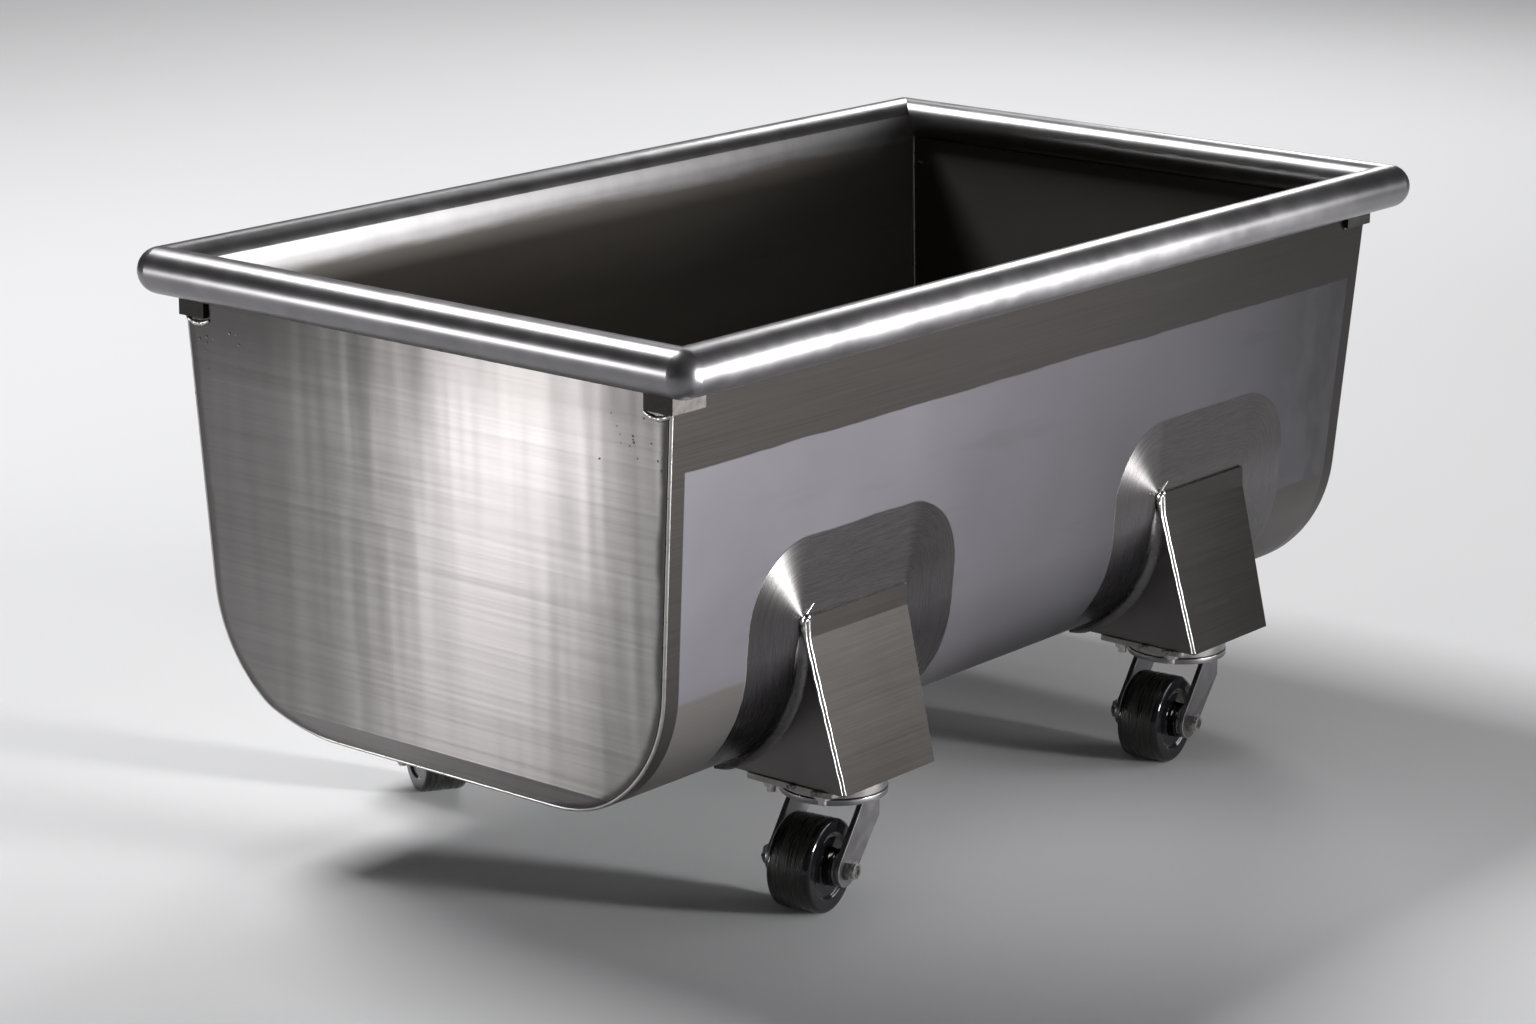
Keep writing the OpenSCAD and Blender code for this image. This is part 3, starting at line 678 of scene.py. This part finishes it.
# Corner welds of the pods: each side plate is welded to the tub all the way down, and the weld
# is ground to a hollow. It starts thin at the top and runs out under the tub.
fillet_r, fillet_start, fillet_grows, below_top = 0.0105, 0.05, 0.04, 0.002
# Radians round the bend at which the weld starts to thin, and over which it runs out
thins_from, thins_over = 1.2, 0.35
ground_weld_lumps = 0.0006
ground_weld_tones, ground_weld_rough = ((0.10, 0.096, 0.096), (0.22, 0.215, 0.215)), (0.20, 0.34)
ground_weld = Finish("ground_weld_steel")
ground_weld.patches(ground_weld.cloud(40, 4.0), ground_weld_tones, ground_weld_rough)
ground_weld.relief((ground_weld.cloud(70), ground_weld_lumps))


def pod_corner_welds(bm, side_x, side_y, pieces=30, arc=7):
    foot_turn = math.asin(min(1.0, (bend_z - pod_z) / bottom_r))
    # Places (y, z, how far round the bend) down the line between the tub and a side plate
    line = [(side_at(z), z, side_lean)
        for z in even(pod_top - below_top, bend_z - below_top, 6)[:-1]]
    line += [(bend_y + bottom_r * math.cos(turn), bend_z - bottom_r * math.sin(turn), turn)
        for turn in even(side_lean, foot_turn, pieces)]
    for side in (-1, 1):
        rings = []
        for y, z, turn in line:
            corner_at = Vector((side_x * pod_x + side * pod_half_at(z), side_y * y, z))
            on_tub = Vector((side, 0, 0))
            on_plate = Vector((0, side_y * math.cos(turn), -math.sin(turn)))
            r = fillet_r * min(1, 1 - (turn - thins_from) / thins_over)
            r *= min(1, fillet_start + (pod_top - z) / fillet_grows)
            hollow = [
                corner_at + r * (1 - math.sin(t)) * on_tub + r * (1 - math.cos(t)) * on_plate
                for t in even(0, math.pi / 2, arc)
            ]
            hollow.append(corner_at + r * on_plate - sunk * on_tub)
            hollow.append(corner_at - sunk * (on_tub + on_plate))
            hollow.append(corner_at + r * on_tub - sunk * on_plate)
            rings.append(hollow)
        lay_rings(bm, rings)
    bmesh.ops.recalc_face_normals(bm, faces=bm.faces)


for corner, (side_x, side_y) in corners.items():
    add_mesh("pod_edge_welds_" + corner, edge_weld,
        lambda bm: pod_edge_welds(bm, side_x, side_y))
    add_mesh("pod_ground_welds_" + corner, ground_weld,
        lambda bm: pod_corner_welds(bm, side_x, side_y))

# Tack welds: short lumpy welds on the left and right edge of each caster plate, two to a side,
# which hold it against the foot of the pod. They are left as they were laid.
tack_drops, drop_apart, drop_r = 6, 0.0018, (0.0018, 0.0029)
drop_out, drop_down = (-0.0005, 0.0010), (0.0010, 0.0040)
left_tacks, right_tacks = (0.16, 0.45), (0.30, 0.80)


def plate_tacks(bm, plate):
    dice = random.Random(37)
    low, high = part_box(plate)
    for x, way, shares in ((low.x, -1, left_tacks), (high.x, 1, right_tacks)):
        for share in shares:
            for i in range(tack_drops):
                place = Vector((
                    x + dice.uniform(*drop_out) * way,
                    low.y + share * (high.y - low.y) + (i - (tack_drops - 1) / 2) * drop_apart,
                    high.z - dice.uniform(*drop_down)))
                lay_drop(bm, place, dice.uniform(*drop_r))


for corner in corners:
    add_mesh("caster_plate_tacks_" + corner, edge_weld,
        lambda bm: plate_tacks(bm, "caster_plate_" + corner))

# Caster plates, races and kingpins: pressed and turned stainless hardware, dull from use.
# Each plate is bolted to its pod by four studs, and the kingpin holds the race and the fork.
hardware_tones, hardware_rough = ((0.16, 0.154, 0.148), (0.36, 0.35, 0.34)), (0.28, 0.46)
# Bright tone on rounded edges: wear, and a painted highlight along the edge
worn_edge_and_highlight_tones, worn_edge_and_highlight_rough = ((0.45, 0.44, 0.43), (0.75, 0.74, 0.72)), 0.22
plate_edge, plate_pits = 0.0007, 0.0001
hardware = Finish("caster_steel")
hardware.patches(hardware.cloud(45, 5.0), hardware_tones, hardware_rough)
hardware.relief((hardware.cloud(300, 3.0), plate_pits))
hardware.on("upper_races", "kingpins", "kingpin_nuts")
# Worn bright edges, also a painted highlight along each rounded edge
worn_edge_and_highlight = Finish("worn_edge_and_highlight_steel")
worn_edge_and_highlight.set("Base Color", worn_edge_and_highlight.mix(worn_edge_and_highlight.cloud(200, 3.0), *worn_edge_and_highlight_tones))
worn_edge_and_highlight.set("Roughness", worn_edge_and_highlight_rough)
for corner in corners:
    hardware.on("caster_plate_" + corner)
    round_edges("caster_plate_" + corner, plate_edge, worn_edge_and_highlight)

# Forks: a round crown and two legs of 6 mm plate. The faces are dull and the edges worn bright, with a
# painted highlight along them.
# Each turns on its ring of balls, under the upper race.
fork_tones, fork_rough = ((0.15, 0.146, 0.15), (0.27, 0.264, 0.27)), (0.26, 0.44)
fork_edge, fork_pits = 0.0009, 0.00008
fork = Finish("fork_steel")
fork.patches(fork.cloud(60, 5.0), fork_tones, fork_rough)
fork.relief((fork.cloud(400, 3.0), fork_pits))
for corner in corners:
    fork.on("fork_" + corner)
    round_edges("fork_" + corner, fork_edge, worn_edge_and_highlight)

# Studs, nuts, axle bolts, washers, sleeves, bearings and balls: bright machined fasteners and
# turned parts, bolted through the plates and through the forks' legs.
bright_tones, bright_rough = ((0.36, 0.35, 0.34), (0.60, 0.59, 0.58)), (0.20, 0.36)
bright = Finish("bright_fastener_steel")
bright.patches(bright.cloud(150, 3.0), bright_tones, bright_rough)
bright.on("caster_studs", "caster_stud_nuts", "swivel_balls")
for corner in corners:
    for part in ("axle_bolt_", "axle_nut_", "axle_sleeve_", "hub_washers_", "wheel_bearing_"):
        bright.on(part + corner)

# Wheels: moulded black wheels with a stepped side, glossy there and worn dull on the tread.
# The wear runs round the tread, so the noise is drawn out about each wheel's own axle.
# Each wheel turns on its axle bolt, between the legs of its fork.
black, worn_black = (0.004, 0.004, 0.005), (0.013, 0.0125, 0.008)
glossy_rough, worn_rough = (0.07, 0.14), 0.75
# The worn band: distances from the axle and half widths at which wear starts and is full
worn_r_from, worn_r_full = 0.0475, 0.0500
worn_half_from, worn_half_full = 0.0215, 0.017
wear_noise, wear_squeeze, wear_depth = (0.36, 0.66), 25, 0.0002
wheel_edge = 0.0015
for corner in corners:
    axle_at = sum(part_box("wheel_" + corner), Vector()) / 2
    joint = next(j for j in frame["record"]["behaviour"]["joints"] if j["name"] == corner + "_roll")
    axle_way = Vector(joint["axis"]).normalized()
    wheel = Finish("wheel_black_" + corner, metallic=0.0)
    from_axle = wheel.vector("SUBTRACT", wheel.place, axle_at)
    along_axle = wheel.vector("DOT_PRODUCT", from_axle, axle_way)
    axle_part = wheel.vector("MULTIPLY", axle_way, along_axle)
    spoke = wheel.vector("SUBTRACT", from_axle, axle_part)
    squeezed = wheel.vector("MULTIPLY", axle_part, (wear_squeeze, wear_squeeze, wear_squeeze))
    streaks = wheel.cloud(26, 5.0, wheel.vector("ADD", squeezed, spoke))
    specks = wheel.cloud(700, 3.0)
    tread = wheel.calc("MULTIPLY",
        wheel.step(wheel.vector("LENGTH", spoke), worn_r_from, worn_r_full),
        wheel.step(wheel.calc("ABSOLUTE", along_axle), worn_half_from, worn_half_full))
    worn = wheel.calc("MULTIPLY", tread, wheel.step(streaks, *wear_noise))
    wheel.set("Base Color", wheel.mix(worn, black, worn_black))
    wheel.set("Roughness", wheel.blend(worn, wheel.span(specks, *glossy_rough), worn_rough))
    wheel.relief((wheel.calc("MULTIPLY", specks, worn), wear_depth))
    wheel.on("wheel_" + corner)
    round_edges("wheel_" + corner, wheel_edge)

# Studio floor: a wide sheet of plain pale paper, a little uneven in tone, laid flat under the
# wheels. Above it the world is a plain dim grey.
floor_half = 30.0
paper_tones, paper_rough = ((0.76, 0.76, 0.77), (0.80, 0.80, 0.81)), 0.9
world_tone, world_strength = (0.5, 0.5, 0.51), 0.18
paper = Finish("floor_paper", metallic=0.0)
paper.set("Base Color", paper.mix(paper.cloud(0.8, 4.0), *paper_tones))
paper.set("Roughness", paper_rough)
floor_mesh = bpy.data.meshes.new("floor")
floor_mesh.from_pydata(
    [(x * floor_half, y * floor_half, 0) for x, y in ((-1, -1), (1, -1), (1, 1), (-1, 1))],
    [], [(0, 1, 2, 3)]
)
floor_mesh.materials.append(paper.material)
floor = bpy.data.objects.new("floor", floor_mesh)
bpy.context.scene.collection.objects.link(floor)

world = bpy.data.worlds.new("studio")
world.use_nodes = True
world.node_tree.nodes["Background"].inputs["Color"].default_value = (*world_tone, 1)
world.node_tree.nodes["Background"].inputs["Strength"].default_value = world_strength
bpy.context.scene.world = world
bpy.context.scene.view_settings.view_transform = "Standard"

# Studio lamps: six soft boxes. The top lamp and the back right one light the rim and the inside,
# the two front lamps light the long side and the pods, one lights the brushed left end, and
# one lights only the floor behind. Sizes are in metres, power in watts, spread in degrees.


def softbox(name, place, aim, width, height, watts, spread=180):
    lamp = bpy.data.lights.new(name, "AREA")
    lamp.shape = "RECTANGLE"
    lamp.size = width
    lamp.size_y = height
    lamp.energy = watts
    lamp.spread = math.radians(spread)
    holder = bpy.data.objects.new(name, lamp)
    holder.location = place
    holder.rotation_euler = (Vector(aim) - Vector(place)).to_track_quat("-Z", "Y").to_euler()
    bpy.context.scene.collection.objects.link(holder)


softbox("end_lamp", (-4.68, 3.40, 0.55), (-0.64, -0.1, 0.62), 0.26, 1.0, 1.4, spread=24)
softbox("top_lamp", (0.0, 3.3, 5.2), (-0.2, 0, 0.6), 2.1, 1.6, 280)
softbox("background_lamp", (5.0, 4.6, 4.6), (5.6, 4.6, 0), 2.0, 2.0, 60)
softbox("front_right_lamp", (1.7, -2.1, 0.85), (-0.3, 0.2, 0.6), 1.2, 0.5, 13)
softbox("back_right_lamp", (5.2, 2.4, 3.3), (0, 0, 0.6), 1.4, 0.6, 85)
softbox("front_lamp", (0.8, -2.85, 0.62), (-0.1, -0.36, 0.85), 0.4, 0.6, 36, spread=36)
